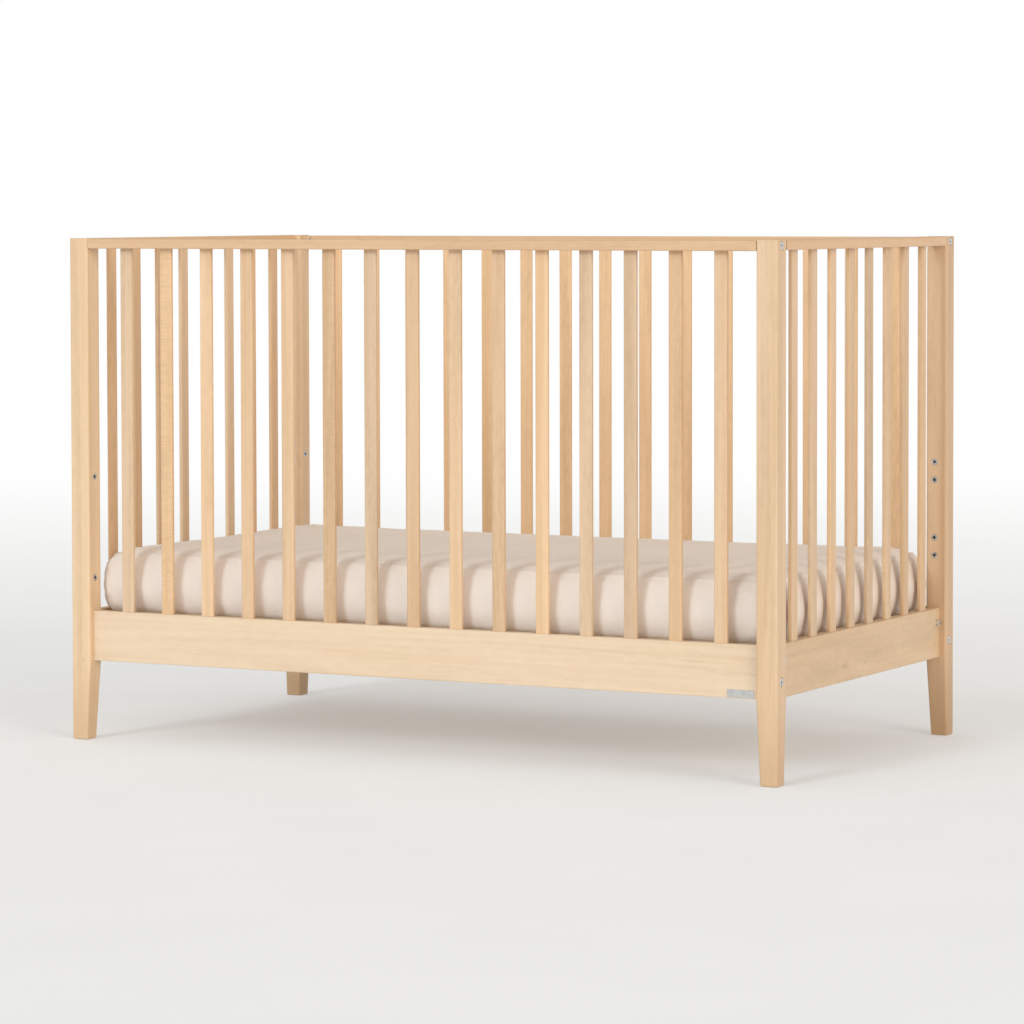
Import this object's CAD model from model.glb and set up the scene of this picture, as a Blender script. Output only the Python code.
import math
import random

import bpy
from mathutils import Matrix, Vector
from mathutils.bvhtree import BVHTree


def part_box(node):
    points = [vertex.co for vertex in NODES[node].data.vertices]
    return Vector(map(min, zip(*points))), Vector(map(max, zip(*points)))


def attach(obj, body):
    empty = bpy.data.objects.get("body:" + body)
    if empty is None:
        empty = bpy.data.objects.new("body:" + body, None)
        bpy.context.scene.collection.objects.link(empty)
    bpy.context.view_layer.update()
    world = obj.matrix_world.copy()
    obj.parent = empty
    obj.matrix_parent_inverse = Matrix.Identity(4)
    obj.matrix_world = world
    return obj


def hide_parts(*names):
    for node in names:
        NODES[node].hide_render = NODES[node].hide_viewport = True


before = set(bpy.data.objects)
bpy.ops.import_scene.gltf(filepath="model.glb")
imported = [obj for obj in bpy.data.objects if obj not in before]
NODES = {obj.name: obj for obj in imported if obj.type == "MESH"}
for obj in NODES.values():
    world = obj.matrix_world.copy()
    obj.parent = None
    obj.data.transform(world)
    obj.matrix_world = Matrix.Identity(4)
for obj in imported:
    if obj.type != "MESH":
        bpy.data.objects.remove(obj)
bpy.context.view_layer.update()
AXES = {"x": 0, "y": 1, "z": 2}


# ---------------------------------------------------------------- shader graphs

def add_node(tree, kind, inputs, **settings):
    """A new node in the tree. An input is another node's output, or a plain value."""
    node = tree.nodes.new(kind)
    for key, value in settings.items():
        setattr(node, key, value)
    for key, value in inputs.items():
        if isinstance(value, bpy.types.NodeSocket):
            tree.links.new(value, node.inputs[key])
        else:
            node.inputs[key].default_value = value
    return node


class Graph:
    """A material and short ways to add its nodes."""

    def __init__(self, name):
        self.material = bpy.data.materials.new(name)
        self.material.use_nodes = True
        self.tree = self.material.node_tree
        self.tree.nodes.clear()
        self.coords = self.tree.nodes.new("ShaderNodeTexCoord")
        self.place = self.coords.outputs["Object"]

    def add(self, kind, inputs, **settings):
        return add_node(self.tree, kind, inputs, **settings)

    def math(self, operation, *values):
        return self.add("ShaderNodeMath", dict(enumerate(values)), operation=operation).outputs[0]

    def total(self, *values):
        result = values[0]
        for value in values[1:]:
            result = self.math("ADD", result, value)
        return result

    def scaled(self, scale, offset=(0, 0, 0)):
        inputs = {"Vector": self.place, "Scale": scale, "Location": offset}
        return self.add("ShaderNodeMapping", inputs).outputs[0]

    def noise(self, where, detail=2.0, roughness=0.5, distortion=0.0):
        inputs = {"Vector": where, "Scale": 1.0, "Detail": detail, "Roughness": roughness,
                  "Distortion": distortion}
        return self.add("ShaderNodeTexNoise", inputs).outputs[0]

    def span(self, value, low, high, to_low=0.0, to_high=1.0):
        inputs = {"Value": value, "From Min": low, "From Max": high, "To Min": to_low, "To Max": to_high}
        return self.add("ShaderNodeMapRange", inputs).outputs[0]

    def ramp(self, value, stops):
        node = self.add("ShaderNodeValToRGB", {"Fac": value})
        elements = node.color_ramp.elements
        while len(elements) < len(stops):
            elements.new(0.5)
        for element, (position, colour) in zip(elements, stops):
            element.position = position
            element.color = (*colour, 1.0)
        return node.outputs[0]

    def mix(self, factor, first, second):
        node = self.add("ShaderNodeMix", {}, data_type="RGBA")
        for socket, value in ((0, factor), (6, first), (7, second)):
            if isinstance(value, bpy.types.NodeSocket):
                self.tree.links.new(value, node.inputs[socket])
            else:
                node.inputs[socket].default_value = value if socket == 0 else (*value, 1.0)
        return node.outputs[2]

    def parts(self, vector):
        return self.add("ShaderNodeSeparateXYZ", {0: vector}).outputs

    def bump(self, height, distance, strength):
        return self.add("ShaderNodeBump", {"Height": height, "Distance": distance,
                                           "Strength": strength}).outputs[0]

    def finish(self, **inputs):
        shader = self.add("ShaderNodeBsdfPrincipled", {k.replace("_", " "): v for k, v in inputs.items()})
        self.add("ShaderNodeOutputMaterial", {"Surface": shader.outputs[0]})
        return self.material


def linear(red, green, blue):
    """A colour given as 0-255 screen values, as the linear light values that a shader takes."""
    values = (c / 255 for c in (red, green, blue))
    return tuple(v / 12.92 if v < 0.04045 else ((v + 0.055) / 1.055) ** 2.4 for v in values)


def shade(colour, amount, warmth=0.0):
    """The colour brighter (over 1) or darker, and redder with warmth."""
    tint = (1 + warmth, 1.0, 1 - 1.6 * warmth)
    return tuple(min(1.0, c * amount * t) for c, t in zip(colour, tint))


# ---------------------------------------------------------------- wood

BEECH = linear(217, 188, 154)
# the first of these words in a piece's name gives its colour, and any other piece is BEECH
TONES = {
    "front_right_post": linear(213, 183, 149),
    "back_right_post": linear(208, 176, 143),
    "back_left_post": linear(214, 182, 146),
    "left_lower_rail": BEECH,
    "right_lower_rail": BEECH,
    "lower_rail": linear(220, 197, 170),
    "top_rail": linear(211, 176, 139),
    "_slat": linear(212, 180, 145),
}
BASE_WOOD = linear(214, 186, 148)
KNOT_ACROSS = 0.35                  # a knot's width over its length
FOOT_LOW, FOOT_HIGH = 0.02, 0.15    # the heights between which a leg's tone changes
RING_TURNS = 120.0                  # the rings that the slow noise's range is cut into, in radians


def knot(g, axis, place, size, body, colour):
    """A faint pin knot: the factor, what it leaves and what it paints. It is longer along the grain."""
    scale = [1 / size] * 3
    scale[axis] = KNOT_ACROSS / size
    offset = [-c * s for c, s in zip(place, scale)]
    away = g.add("ShaderNodeVectorMath", {0: g.scaled(scale, offset)}, operation="LENGTH").outputs["Value"]
    ragged = g.total(away, g.span(g.noise(g.scaled((700, 700, 700)), 3.0, 0.7), 0.3, 0.7, -0.45, 0.45))
    return g.span(ragged, 0.1, 1.25, 0.62, 0.0), body, shade(colour, 0.52, 0.14)


def wood(name, along, colour, strips=0.0, contrast=1.0, rough=0.42, knots=(), ladder=0.0, foot=0.0):
    """Lacquered beech. along is the grain's axis and strips the width of its glued strips, or 0.

    ladder is how much the short rungs across a quarter-cut board show, and foot how much a leg
    darkens towards the floor.
    """
    g = Graph(name)
    draw = random.Random(name)
    axis = AXES[along]

    def stretched(across, lengthwise):
        scale = [across] * 3
        scale[axis] = lengthwise
        return g.scaled(scale, [draw.uniform(-50, 50) for _ in range(3)])

    # growth rings cut lengthwise: contour lines of a long, slow noise
    figure = g.noise(stretched(7.5, 0.42), 1.2, 0.45, 0.5)
    rings = g.math("SINE", g.math("MULTIPLY", figure, RING_TURNS))
    broad = g.noise(stretched(26, 1.3), 2.0)
    heart = g.noise(stretched(75, 1.5), 1.0)
    mottle = g.noise(stretched(150, 45), 2.0)
    fibre = g.noise(stretched(1900, 26), 2.0, 0.6)
    streak = g.noise(stretched(260, 3.2), 3.0, 0.6)
    tone = g.total(g.span(rings, -1, 1, -0.05, 0.05),
                   g.span(broad, 0.3, 0.7, -0.15, 0.15),
                   g.span(mottle, 0.3, 0.7, -0.07, 0.07),
                   g.span(streak, 0.3, 0.7, -0.06, 0.06),
                   g.span(fibre, 0.3, 0.7, -0.04, 0.04))
    if strips:
        where = g.parts(g.place)
        cell = [g.math("FLOOR", g.math("DIVIDE", g.math("ADD", where[i], draw.uniform(0.1, 0.2)), strips))
                for i in range(3) if i != axis]
        inputs = {"Vector": g.add("ShaderNodeCombineXYZ", {0: cell[0], 1: cell[1]}).outputs[0]}
        pick = g.add("ShaderNodeTexWhiteNoise", inputs).outputs[0]
        tone = g.total(tone, g.span(pick, 0, 1, -0.16, 0.16))
    tone = g.total(g.math("MULTIPLY", tone, contrast), 0.5)
    body = g.ramp(tone, [(0.0, shade(colour, 0.70, 0.05)), (0.5, colour),
                         (1.0, shade(colour, 1.16, -0.03))])

    # long pinkish streaks
    pink = g.math("MULTIPLY", g.span(heart, 0.52, 0.72), 0.55 * contrast)
    body = g.mix(pink, body, shade(colour, 0.88, 0.07))

    # the short dark flecks of beech's rays
    cells = g.add("ShaderNodeTexVoronoi", {"Vector": stretched(820, 150), "Scale": 1.0, "Randomness": 1.0},
                  feature="F1").outputs["Distance"]
    where_many = g.span(g.noise(stretched(60, 6), 1.0), 0.42, 0.62)
    fleck = g.math("MULTIPLY", g.span(cells, 0.10, 0.30, 1.0, 0.0), where_many)
    body = g.mix(g.math("MULTIPLY", fleck, 0.36), body, shade(colour, 0.50, 0.10))
    if ladder:
        rungs = g.span(g.noise(stretched(55, 430), 1.0), 0.53, 0.62)
        body = g.mix(g.math("MULTIPLY", rungs, ladder), body, shade(colour, 0.74, 0.04))
    if foot:
        low = g.span(g.parts(g.place)[2], FOOT_LOW, FOOT_HIGH, 1.0, 0.0)
        body = g.mix(low, body, shade(colour, 1 - foot, foot / 4))
    for place, size in knots:
        body = g.mix(*knot(g, axis, place, size, body, colour))

    # end grain is darker and shows the rings as rings
    normal = g.parts(g.coords.outputs["Normal"])
    end = g.span(g.math("ABSOLUTE", normal[axis]), 0.75, 0.95)
    end_rings = g.noise(g.scaled([160 if i != axis else 1 for i in range(3)]), 3.0, 0.7)
    end_colour = g.ramp(end_rings, [(0.35, shade(colour, 0.66, 0.07)), (0.65, shade(colour, 0.86, 0.03))])
    body = g.mix(end, body, end_colour)

    height = g.total(g.math("MULTIPLY", fibre, 0.5), g.math("MULTIPLY", fleck, -0.6))
    roughness = g.total(rough, g.span(streak, 0.3, 0.7, -0.05, 0.05), g.math("MULTIPLY", fleck, 0.1))
    return g.finish(Base_Color=body, Roughness=roughness, Normal=g.bump(height, 0.00012, 0.6),
                    Coat_Weight=0.12, Coat_Roughness=0.35, IOR=1.5)


def piece_colour(name, base, spread):
    """Each piece is cut from its own board, so each has its own tone."""
    draw = random.Random("tone " + name)
    return shade(base, 1 + draw.uniform(-spread, spread), draw.uniform(-0.5, 0.5) * spread)


def dress(name, material):
    node = NODES[name]
    node.data.materials.clear()
    node.data.materials.append(material)


def grain_axis(name):
    if name.startswith(("left_", "right_")) and name.endswith("_rail"):
        return "y"
    if name.endswith("_rail"):
        return "y" if name in ("base_left_rail", "base_right_rail") else "x"
    return "y" if name == "base_slats" else "z"


# the width of the glued strips
STRIPS = {"post": 0.021, "lower_rail": 0.046}
# the most that a piece's tone differs from its kind's
SLAT_SPREAD, BASE_SPREAD, OTHER_SPREAD = 0.10, 0.07, 0.03
PLAIN_GRAIN, STRONG_GRAIN = 1.0, 1.3
# each knot's place and radius
KNOTS = {
    "front_left_post": [((-0.664, -0.3865, 0.143), 0.0018)],
    "right_lower_rail": [((0.6755, -0.078, 0.168), 0.0048), ((0.6755, 0.010, 0.166), 0.0026)],
    "back_lower_rail": [((0.31, 0.3745, 0.172), 0.0040), ((-0.44, 0.3745, 0.205), 0.0024)],
    "left_lower_rail": [((-0.6755, 0.12, 0.168), 0.0038)],
}
# how much each leg darkens at the floor
FEET = {"front_left_post": 0.17, "front_right_post": 0.17,
        "back_left_post": 0.34, "back_right_post": 0.30}
# the slats cut on the quarter
LADDERS = {"front_slat_02": 0.30, "front_slat_06": 0.26, "left_slat_3": 0.22, "right_slat_6": 0.20}

for name in NODES:
    is_slat = "_slat" in name
    if name.startswith("base_") and name.endswith(("_rail", "_slats")):
        tone = piece_colour(name, BASE_WOOD, BASE_SPREAD)
        dress(name, wood("wood_" + name, grain_axis(name), tone, contrast=STRONG_GRAIN, rough=0.6))
    elif name.endswith(("_post", "_rail")) or is_slat:
        strips = next((width for word, width in STRIPS.items() if name.endswith(word)), 0.0)
        colour = next((tone for word, tone in TONES.items() if word in name), BEECH)
        tone = piece_colour(name, colour, SLAT_SPREAD if is_slat else OTHER_SPREAD)
        dress(name, wood("wood_" + name, grain_axis(name), tone, strips,
                         contrast=STRONG_GRAIN if is_slat else PLAIN_GRAIN, knots=KNOTS.get(name, ()),
                         ladder=LADDERS.get(name, 0.0), foot=FEET.get(name, 0.0)))


# ---------------------------------------------------------------- metal

def steel(name, colour, rough, grain=(900, 900, 900), depth=0.00003, dark=0.78):
    """Plated steel, whose colour falls to dark times itself in its dull patches."""
    g = Graph(name)
    marks = g.noise(g.scaled(grain), 4.0, 0.65)
    dull = g.noise(g.scaled((140, 140, 140)), 2.0)
    tone = g.ramp(g.math("ADD", g.math("MULTIPLY", marks, 0.6), g.math("MULTIPLY", dull, 0.4)),
                  [(0.36, shade(colour, dark)), (0.62, shade(colour, 1.08))])
    return g.finish(Base_Color=tone, Metallic=1.0, Normal=g.bump(marks, depth, 0.5),
                    Roughness=g.span(marks, 0.3, 0.7, rough - 0.07, rough + 0.10))


ZINC = steel("zinc_plated", (0.97, 0.98, 0.99), 0.24, (520, 520, 520), 0.00009, 0.50)
for name in ("panel_bolts", "base_bolts", "panel_barrel_nuts", "base_barrel_nuts"):
    dress(name, ZINC)
INSERT = steel("bright_insert", (0.72, 0.73, 0.74), 0.30, (560, 560, 560), 0.00008, 0.22)
for name in ("height_inserts", "guard_rail_inserts"):
    dress(name, INSERT)
dress("blank_plate", steel("brushed_plate", (0.58, 0.58, 0.57), 0.42, (60, 2400, 2400), 0.00002))
dress("locating_dowels", wood("dowel_beech", "x", BEECH))


# ---------------------------------------------------------------- fabrics

COTTON_PITCH, TICKING_PITCH = 0.0011, 0.0014
QUILTING = 32.0     # the diamonds' closeness, in radians a metre


def weave(g, pitch):
    """Crossed threads on any face: each axis's ripple, left out where the face looks along it."""
    where = g.parts(g.place)
    facing = g.parts(g.coords.outputs["Normal"])
    ripples = []
    for position, normal in zip(where, facing):
        wave = g.math("SINE", g.math("MULTIPLY", position, 2 * math.pi / pitch))
        squarely = g.math("MULTIPLY", normal, normal)
        ripples.append(g.math("MULTIPLY", wave, g.math("SUBTRACT", 1.0, squarely)))
    return g.total(*ripples)


def cotton(name, colour):
    g = Graph(name)
    threads = weave(g, COTTON_PITCH)
    slub = g.noise(g.scaled((420, 420, 420)), 3.0, 0.6)
    cloud = g.noise(g.scaled((7, 7, 7)), 2.0)
    tone = g.total(g.span(threads, -2, 2, -0.10, 0.10), g.span(slub, 0.3, 0.7, -0.12, 0.12),
                   g.span(cloud, 0.3, 0.7, -0.14, 0.14), 0.5)
    body = g.ramp(tone, [(0.0, shade(colour, 0.86, 0.015)), (0.5, colour), (1.0, shade(colour, 1.08))])
    height = g.math("ADD", g.math("MULTIPLY", threads, 0.3), g.math("MULTIPLY", slub, 0.7))
    return g.finish(Base_Color=body, Roughness=0.88, Normal=g.bump(height, 0.00016, 0.6),
                    Sheen_Weight=0.25, Sheen_Roughness=0.4)


def ticking(name, colour):
    """Quilted ticking, sewn in diamonds."""
    g = Graph(name)
    where = g.parts(g.place)
    lines = []
    for way in ("ADD", "SUBTRACT"):
        diagonal = g.math("MULTIPLY", g.math(way, where[0], where[1]), QUILTING)
        lines.append(g.math("ABSOLUTE", g.math("SINE", diagonal)))
    puff = g.math("POWER", g.math("MINIMUM", *lines), 0.35)
    threads = weave(g, TICKING_PITCH)
    tone = g.total(g.math("MULTIPLY", puff, 0.4), g.span(threads, -2, 2, 0.0, 0.4))
    body = g.ramp(tone, [(0.1, shade(colour, 0.80, 0.01)), (0.7, colour)])
    height = g.math("ADD", puff, g.math("MULTIPLY", threads, 0.03))
    return g.finish(Base_Color=body, Roughness=0.9, Normal=g.bump(height, 0.003, 0.7), Sheen_Weight=0.2)


# ---------------------------------------------------------------- mattress and sheet

def new_mesh(name, verts, faces):
    mesh = bpy.data.meshes.new(name)
    mesh.from_pydata(verts, [], faces)
    mesh.update()
    piece = bpy.data.objects.new(name, mesh)
    bpy.context.scene.collection.objects.link(piece)
    return piece


def apply_modifiers(piece):
    graph = bpy.context.evaluated_depsgraph_get()
    baked = bpy.data.meshes.new_from_object(piece.evaluated_get(graph))
    old = piece.data
    piece.modifiers.clear()
    piece.data = baked
    bpy.data.meshes.remove(old)


def smooth(piece):
    for face in piece.data.polygons:
        face.use_smooth = True


SHEET_LOW, SHEET_HIGH = (Vector(corner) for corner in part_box("fitted_sheet"))
MIDDLE = (SHEET_LOW + SHEET_HIGH) / 2
HALF = (SHEET_HIGH - SHEET_LOW) / 2
# the mattress before it swells: its lower and upper faces, and half its length and width
LOW, HIGH = SHEET_LOW.z + 0.0016, SHEET_HIGH.z - 0.0014
HALF_X, HALF_Y = HALF.x - 0.0020, HALF.y - 0.0005
UNDERLAP = 0.09     # how far the sheet goes in under the mattress
CORNERS = ((1, 1), (-1, 1), (-1, -1), (1, -1))
ARC_STEPS, LONG_STEPS, SHORT_STEPS = 10, 112, 60
# the radius of the rounded rims, and how much more it is at a corner
RIM, CORNER_RIM = 0.031, 0.006
LOW_RIM, CORNER_LOW_RIM = 0.020, 0.006
UNDER_EDGE = 0.026      # where the flat underside starts
PLAN_RADIUS = 0.018     # the least radius of a corner, seen from above
CORNER_REACH = 0.09     # how far from a corner its rounder rim fades
BULGE = 0.0065          # how far the sides stand out halfway up
CENTRE_GAP = 0.003      # how far from the mattress's long middle line the last ring stops
HEM_INSET = 0.029       # UNDER_EDGE and CENTRE_GAP together


def outline(station):
    """One ring round the mattress. station(w) gives the pull-in and height, w being 1 at a corner."""
    corner_pull, corner_level = station(1.0)
    radius = max(PLAN_RADIUS, corner_pull + 0.004)
    arcs = []
    for number, (sx, sy) in enumerate(CORNERS):
        arc = []
        for step in range(ARC_STEPS + 1):
            turn = math.pi / 2 * (number + step / ARC_STEPS)
            arc.append(Vector((sx * (HALF_X - radius) + (radius - corner_pull) * math.cos(turn),
                               sy * (HALF_Y - radius) + (radius - corner_pull) * math.sin(turn),
                               corner_level)))
        arcs.append(arc)
    points = []
    for number, arc in enumerate(arcs):
        points += arc
        start, end = arc[-1], arcs[(number + 1) % 4][0]
        across = 1 if number % 2 == 0 else 0
        steps = LONG_STEPS if number % 2 == 0 else SHORT_STEPS
        side = CORNERS[number][across]
        half = (HALF_X, HALF_Y)[across]
        for step in range(1, steps):
            point = start.lerp(end, step / steps)
            near = min((point - start).length, (point - end).length)
            pull, level = station(math.exp(-(near / CORNER_REACH) ** 2))
            point[across] = side * (half - pull)
            point.z = level
            points.append(point)
    return points


def bottom_arc(t):
    def station(w):
        radius = LOW_RIM + CORNER_LOW_RIM * w
        return radius * (1 - math.sin(math.pi / 2 * t)), LOW + radius * (1 - math.cos(math.pi / 2 * t))
    return station


def side(t):
    def station(w):
        foot = LOW + LOW_RIM + CORNER_LOW_RIM * w
        shoulder = HIGH - RIM - CORNER_RIM * w
        bulge = BULGE * math.sin(math.pi * t)
        return -bulge * (1 - 0.3 * w), foot + (shoulder - foot) * t
    return station


def top_arc(t):
    def station(w):
        radius = RIM + CORNER_RIM * w
        turn = math.pi / 2 * t
        return radius * (1 - math.cos(turn)), HIGH - radius * (1 - math.sin(turn))
    return station


def flat(level, near, t):
    def station(w):
        edge = near + CORNER_RIM * w * (level == HIGH)
        return edge + (HALF_Y - CENTRE_GAP - edge) * t, level
    return station


def bands(kind, steps, *facts):
    return [kind(*facts, step / steps) for step in range(steps)]


def skin(name, stations, closed):
    """A mesh of stacked rings, with its last ring filled, and its first one too if it is closed."""
    rings = [outline(station) for station in stations]
    count = len(rings[0])
    verts = [(MIDDLE.x + p.x, MIDDLE.y + p.y, p.z) for ring in rings for p in ring]
    faces = [tuple(range(len(verts) - count, len(verts)))]
    if closed:
        faces.append(tuple(range(count))[::-1])
    for level in range(len(rings) - 1):
        for i in range(count):
            j = (i + 1) % count
            faces.append((level * count + i, level * count + j, (level + 1) * count + j,
                          (level + 1) * count + i))
    return new_mesh(name, verts, faces)


UPPER = bands(bottom_arc, 8) + bands(side, 12) + bands(top_arc, 20) + bands(flat, 26, HIGH, RIM)
UNDER = [flat(LOW, UNDER_EDGE, 1 - step / 12) for step in range(12)]

VOXEL, QUICK_VOXEL = 0.009, 0.012
SWELL_FRAMES = 20
SWELL_CAP = 0.006               # how far a point of the foam may move
HELD_INWARD = 0.8               # the share of a move inward that the foam takes back
# the space round the mattress's box, beside the posts, the slats and the lower rails
NEAR_POST, NEAR_RAIL = 0.03, 0.012
ROOM_AT_POST, ROOM_AT_FRONT = 0.0015, 0.0075
ROOM_AT_RAIL, ROOM_AT_END = 0.0005, 0.0050
PAD_INSET, SHEET_INSET = 0.0022, 0.0008     # how far inside that space each piece stays
SHEET_ABOVE_PAD = 0.0011
SHEET_THICKNESS = 0.0006
GATHER, GATHERED_RINGS = 0.004, 4           # the hem's waves, in its first rings
ELASTIC_RADIUS, ELASTIC_HEIGHT = 0.0009, 0.0010


def remesh(piece, voxel):
    modifier = piece.modifiers.new("voxels", "REMESH")
    modifier.mode = "VOXEL"
    modifier.voxel_size = voxel
    apply_modifiers(piece)


def inflate(piece, cap, frames):
    """Swells the piece as a stuffed cloth bag. Its foam lets no point move past the cap, or far in."""
    start = [(vertex.co.copy(), vertex.normal.copy()) for vertex in piece.data.vertices]
    cloth = piece.modifiers.new("cloth", "CLOTH")
    settings = cloth.settings
    settings.quality = 4
    settings.mass = 0.3
    settings.use_pressure = True
    settings.uniform_pressure_force = 4.0
    settings.effector_weights.gravity = 0.0
    settings.tension_stiffness = 12
    settings.compression_stiffness = 12
    settings.bending_stiffness = 1.2
    settings.shrink_min = -0.01
    cloth.point_cache.frame_start = 1
    cloth.point_cache.frame_end = frames
    scene = bpy.context.scene
    for number in range(1, frames + 1):
        scene.frame_set(number)
    apply_modifiers(piece)
    scene.frame_set(1)
    for vertex, (old, normal) in zip(piece.data.vertices, start):
        moved = vertex.co - old
        inward = min(0.0, moved.dot(normal))
        moved -= normal * inward * HELD_INWARD
        if moved.length > cap:
            moved *= cap / moved.length
        vertex.co = old + moved


def settle(piece, inset):
    """Keeps a soft piece off the base below it and the posts and rails round it."""
    for vertex in piece.data.vertices:
        place = vertex.co
        place.z = max(place.z, SHEET_LOW.z + inset)
        near_post = abs(place.x) > HALF.x - NEAR_POST
        room_y = HALF.y + (ROOM_AT_POST if near_post else ROOM_AT_FRONT) - inset
        beside_rail = place.z < SHEET_LOW.z + NEAR_RAIL
        room_x = HALF.x + (ROOM_AT_RAIL if beside_rail else ROOM_AT_END) - inset
        place.x = max(-room_x, min(room_x, place.x))
        place.y = max(-room_y, min(room_y, place.y))


pad = skin("mattress_pad", UNDER + UPPER, True)
remesh(pad, VOXEL)
inflate(pad, SWELL_CAP, SWELL_FRAMES)
finer = pad.modifiers.new("finer", "SUBSURF")
finer.levels = finer.render_levels = 1
apply_modifiers(pad)
settle(pad, PAD_INSET)
smooth(pad)


def soft_step(value):
    value = max(0.0, min(1.0, value))
    return value * value * (3 - 2 * value)


WELT_HEIGHT = 0.0019
WELT_TURN, WELT_WIDTH = 1.08, 0.085     # its place and width round the rim, in radians
FOLD_HEIGHT, PUCKER_HEIGHT, TUCK_HEIGHT = 0.0020, 0.0020, 0.0022
FOLD_REACH = 0.24                       # how far the folds run in from a corner


def welt(place):
    """The mattress's piped seam shows through the sheet as a low ridge along the top rim."""
    drop = (HIGH - place.z) / RIM
    edge = min(HALF_X - abs(place.x), HALF_Y - abs(place.y)) / RIM
    if not 0 < edge < 1.2:
        return 0.0
    turn = math.atan2(1 - drop, 1 - edge)
    return WELT_HEIGHT * math.exp(-((turn - WELT_TURN) / WELT_WIDTH) ** 2)


def tucked(run):
    """Where the hem's elastic pulls short tucks up the side: a few places, not everywhere."""
    return soft_step((math.sin(run * 7.1 + 1.7) * math.sin(run * 3.3 + 0.4) - 0.30) / 0.3)


def crease(place):
    """Soft folds in the sheet, that run in from its corners and up its sides."""
    x, y, z = place
    near_x, near_y = HALF_X - abs(x), HALF_Y - abs(y)
    corner = soft_step(1 - math.hypot(near_x, near_y) / FOLD_REACH)
    fan = math.sin(math.atan2(near_y + 0.01, near_x + 0.01) * 17 + 3)
    lift = FOLD_HEIGHT * corner * max(0.0, fan) ** 2
    on_side = soft_step(1 - min(near_x, near_y) / 0.03)
    run = x if near_y < near_x else y
    pucker = math.sin(run * 37 + 2.1 * math.sin(run * 11)) * math.sin(run * 9.7 + 1.3)
    low = soft_step((MIDDLE.z - z) / 0.05 + 0.5)
    tuck = math.sin((run + 0.6 * z) * 140 + 3 * math.sin(run * 6.3))
    tucks = TUCK_HEIGHT * tucked(run) * max(0.0, tuck) ** 3
    return lift + on_side * low * (PUCKER_HEIGHT * max(0.0, pucker) + tucks)


# the sheet starts as a neat skin, is drawn down on the swollen mattress, and gets its folds
hem_share = (UNDERLAP - UNDER_EDGE) / (HALF_Y - HEM_INSET)
hem_rings = [flat(LOW, UNDER_EDGE, hem_share * (1 - step / 9)) for step in range(9)]
sheet = skin("fitted_sheet_cloth", hem_rings + UPPER, False)
surface = BVHTree.FromObject(pad, bpy.context.evaluated_depsgraph_get())
for vertex in sheet.data.vertices:
    touch, normal, _, _ = surface.find_nearest(vertex.co)
    vertex.co = touch + normal * (SHEET_ABOVE_PAD + welt(vertex.co) + crease(vertex.co))
ring_size = len(outline(hem_rings[0]))
for index in range(ring_size * GATHERED_RINGS):
    vertex = sheet.data.vertices[index]
    ring = index // ring_size
    gather = GATHER * (1 - ring / GATHERED_RINGS) * math.sin(index % ring_size * 2.1)
    outward = Vector((vertex.co.x, vertex.co.y, 0)).normalized()
    vertex.co += outward * gather
hem_line = [vertex.co.copy() for vertex in list(sheet.data.vertices)[:ring_size]]
settle(sheet, SHEET_INSET)
thick = sheet.modifiers.new("thick", "SOLIDIFY")
thick.thickness = SHEET_THICKNESS
thick.offset = 0.0
apply_modifiers(sheet)
smooth(sheet)

# the elastic sewn into the sheet's hem, under the mattress
line = bpy.data.curves.new("sheet_elastic", "CURVE")
line.dimensions = "3D"
line.bevel_depth = ELASTIC_RADIUS
spline = line.splines.new("POLY")
spline.points.add(ring_size - 1)
for point, place in zip(spline.points, hem_line):
    point.co = (place.x, place.y, SHEET_LOW.z + ELASTIC_HEIGHT, 1)
spline.use_cyclic_u = True
elastic = bpy.data.objects.new("sheet_elastic", line)
bpy.context.scene.collection.objects.link(elastic)

COTTON = cotton("sheet_cotton", linear(233, 221, 211))
pad.data.materials.append(ticking("quilted_ticking", linear(238, 236, 230)))
for piece in (sheet, elastic):
    piece.data.materials.append(COTTON)
for piece in (pad, sheet, elastic):
    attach(piece, "mattress")
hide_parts("mattress_core")
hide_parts("fitted_sheet")


# ---------------------------------------------------------------- floor, light and camera

FLOOR = 60.0                        # half the floor's width
FLOOR_DROP = 0.0005                 # keeps it from touching the feet
FLOOR_GLOW = 0.25                   # the share of plain white in the floor near the crib
SWEEP_START, SWEEP_END = 1.5, 8.0   # the distances between which it becomes all white
floor = new_mesh("floor", [(-FLOOR, -FLOOR, 0), (FLOOR, -FLOOR, 0), (FLOOR, FLOOR, 0), (-FLOOR, FLOOR, 0)],
                 [(0, 1, 2, 3)])
floor.location.z = -FLOOR_DROP
paper = Graph("floor_paper")
paper_tone = paper.ramp(paper.noise(paper.scaled((3, 3, 3)), 3.0),
                        [(0.3, (0.86, 0.88, 0.91)), (0.7, (0.89, 0.91, 0.94))])
# the floor brightens with distance from the crib into an evenly lit white sweep
away = paper.add("ShaderNodeVectorMath", {0: paper.place}, operation="LENGTH").outputs["Value"]
sweep_inputs = {"Value": away, "From Min": SWEEP_START, "From Max": SWEEP_END, "To Min": FLOOR_GLOW}
sweep = paper.add("ShaderNodeMapRange", sweep_inputs, interpolation_type="SMOOTHSTEP").outputs[0]
matt = paper.add("ShaderNodeBsdfPrincipled", {"Base Color": paper_tone, "Roughness": 0.95})
lit = paper.add("ShaderNodeEmission", {"Color": (1, 1, 1, 1)})
both = paper.add("ShaderNodeMixShader", {0: sweep, 1: matt.outputs[0], 2: lit.outputs[0]})
paper.add("ShaderNodeOutputMaterial", {"Surface": both.outputs[0]})
floor.data.materials.append(paper.material)

world = bpy.data.worlds.new("studio")
bpy.context.scene.world = world
world.use_nodes = True
tree = world.node_tree
tree.nodes.clear()

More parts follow.
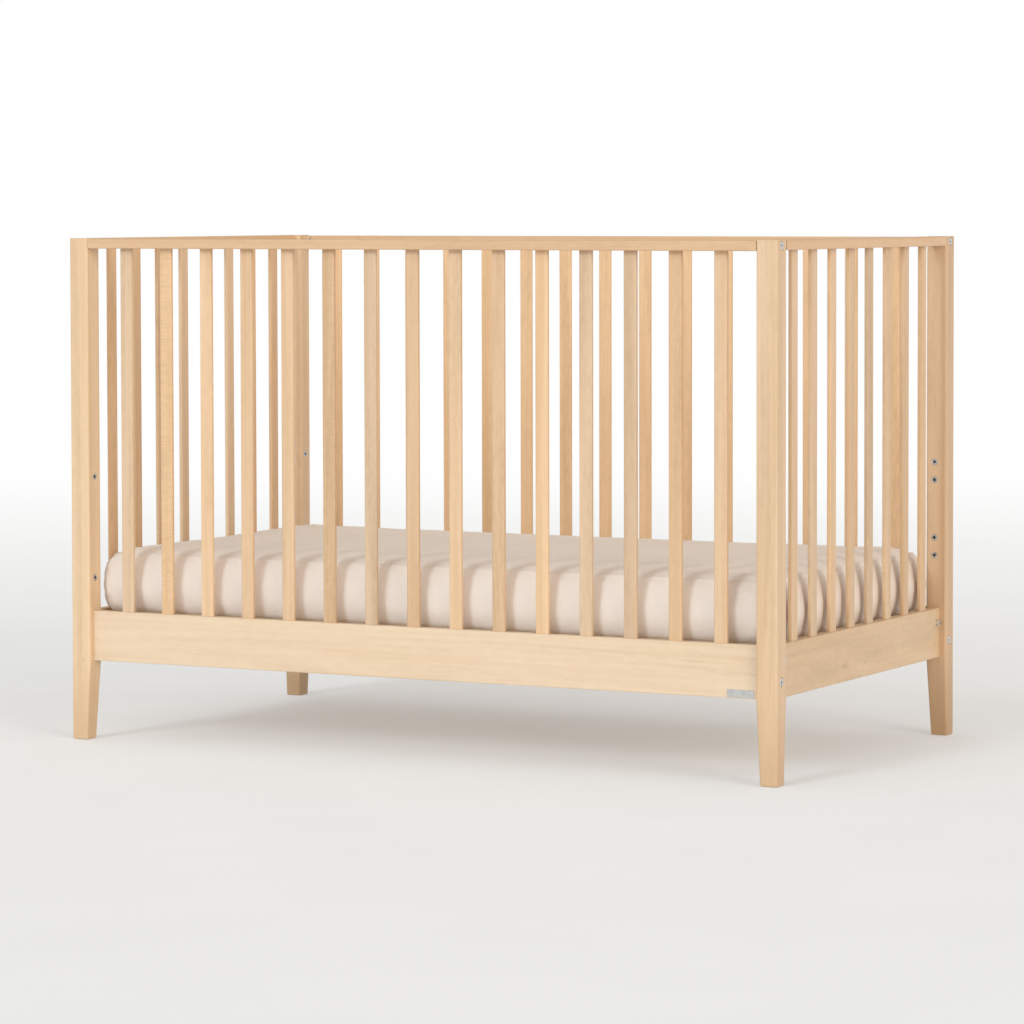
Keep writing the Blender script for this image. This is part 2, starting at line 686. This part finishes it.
# the room is brightest low down and in front, as between two large softboxes
ROOM_LEVEL = 0.86
ROOM_TILT = (-0.06, -0.12, -0.29)
direction = add_node(tree, "ShaderNodeTexCoord", {}).outputs["Generated"]
fall = add_node(tree, "ShaderNodeVectorMath", {0: direction, 1: ROOM_TILT},
                operation="DOT_PRODUCT").outputs["Value"]
glow = add_node(tree, "ShaderNodeMath", {0: fall, 1: ROOM_LEVEL}, operation="ADD").outputs[0]
room = add_node(tree, "ShaderNodeBackground", {"Color": (1.0, 0.95, 0.88, 1), "Strength": glow})
white = add_node(tree, "ShaderNodeBackground", {"Color": (1, 1, 1, 1)})
seen = add_node(tree, "ShaderNodeLightPath", {}).outputs["Is Camera Ray"]
blend = add_node(tree, "ShaderNodeMixShader", {0: seen, 1: room.outputs[0], 2: white.outputs[0]})
add_node(tree, "ShaderNodeOutputWorld", {0: blend.outputs[0]})


def sun(name, towards, strength, softness, colour):
    """A broad soft light from far away, so that the floor is lit evenly."""
    lamp = bpy.data.lights.new(name, "SUN")
    lamp.energy = strength
    lamp.color = colour
    lamp.angle = math.radians(softness)
    lamp_object = bpy.data.objects.new(name, lamp)
    lamp_object.rotation_euler = Vector(towards).to_track_quat("-Z", "Y").to_euler()
    bpy.context.scene.collection.objects.link(lamp_object)


sun("key_light", (0.16, 0.88, -0.42), 1.00, 16, (0.78, 0.91, 1.0))
sun("fill_light", (-0.85, 0.45, -0.28), 1.10, 28, (1.0, 0.90, 0.76))

# the whole picture is 1024 wide; the focal length and the optical centre are in its pixels
PICTURE = 1024
FOCAL, CENTRE_ROW = 4148.1, 390.0
eye = Vector((3.44426, -6.54141, 0.95430))
yaw, pitch, roll = math.radians(27.789), math.radians(-2.585), math.radians(-0.123)
camera_data = bpy.data.cameras.new("camera")
camera_data.sensor_width = 36.0
camera_data.lens = FOCAL * camera_data.sensor_width / PICTURE
camera_data.shift_y = (CENTRE_ROW - PICTURE / 2) / PICTURE
camera_data.clip_end = 200.0
camera = bpy.data.objects.new("camera", camera_data)
camera.location = eye
turned = (Matrix.Rotation(yaw, 4, "Z") @ Matrix.Rotation(math.pi / 2 + pitch, 4, "X")
          @ Matrix.Rotation(roll, 4, "Z"))
camera.rotation_euler = turned.to_euler()
bpy.context.scene.collection.objects.link(camera)
bpy.context.scene.camera = camera

bpy.context.scene.view_settings.view_transform = "Standard"
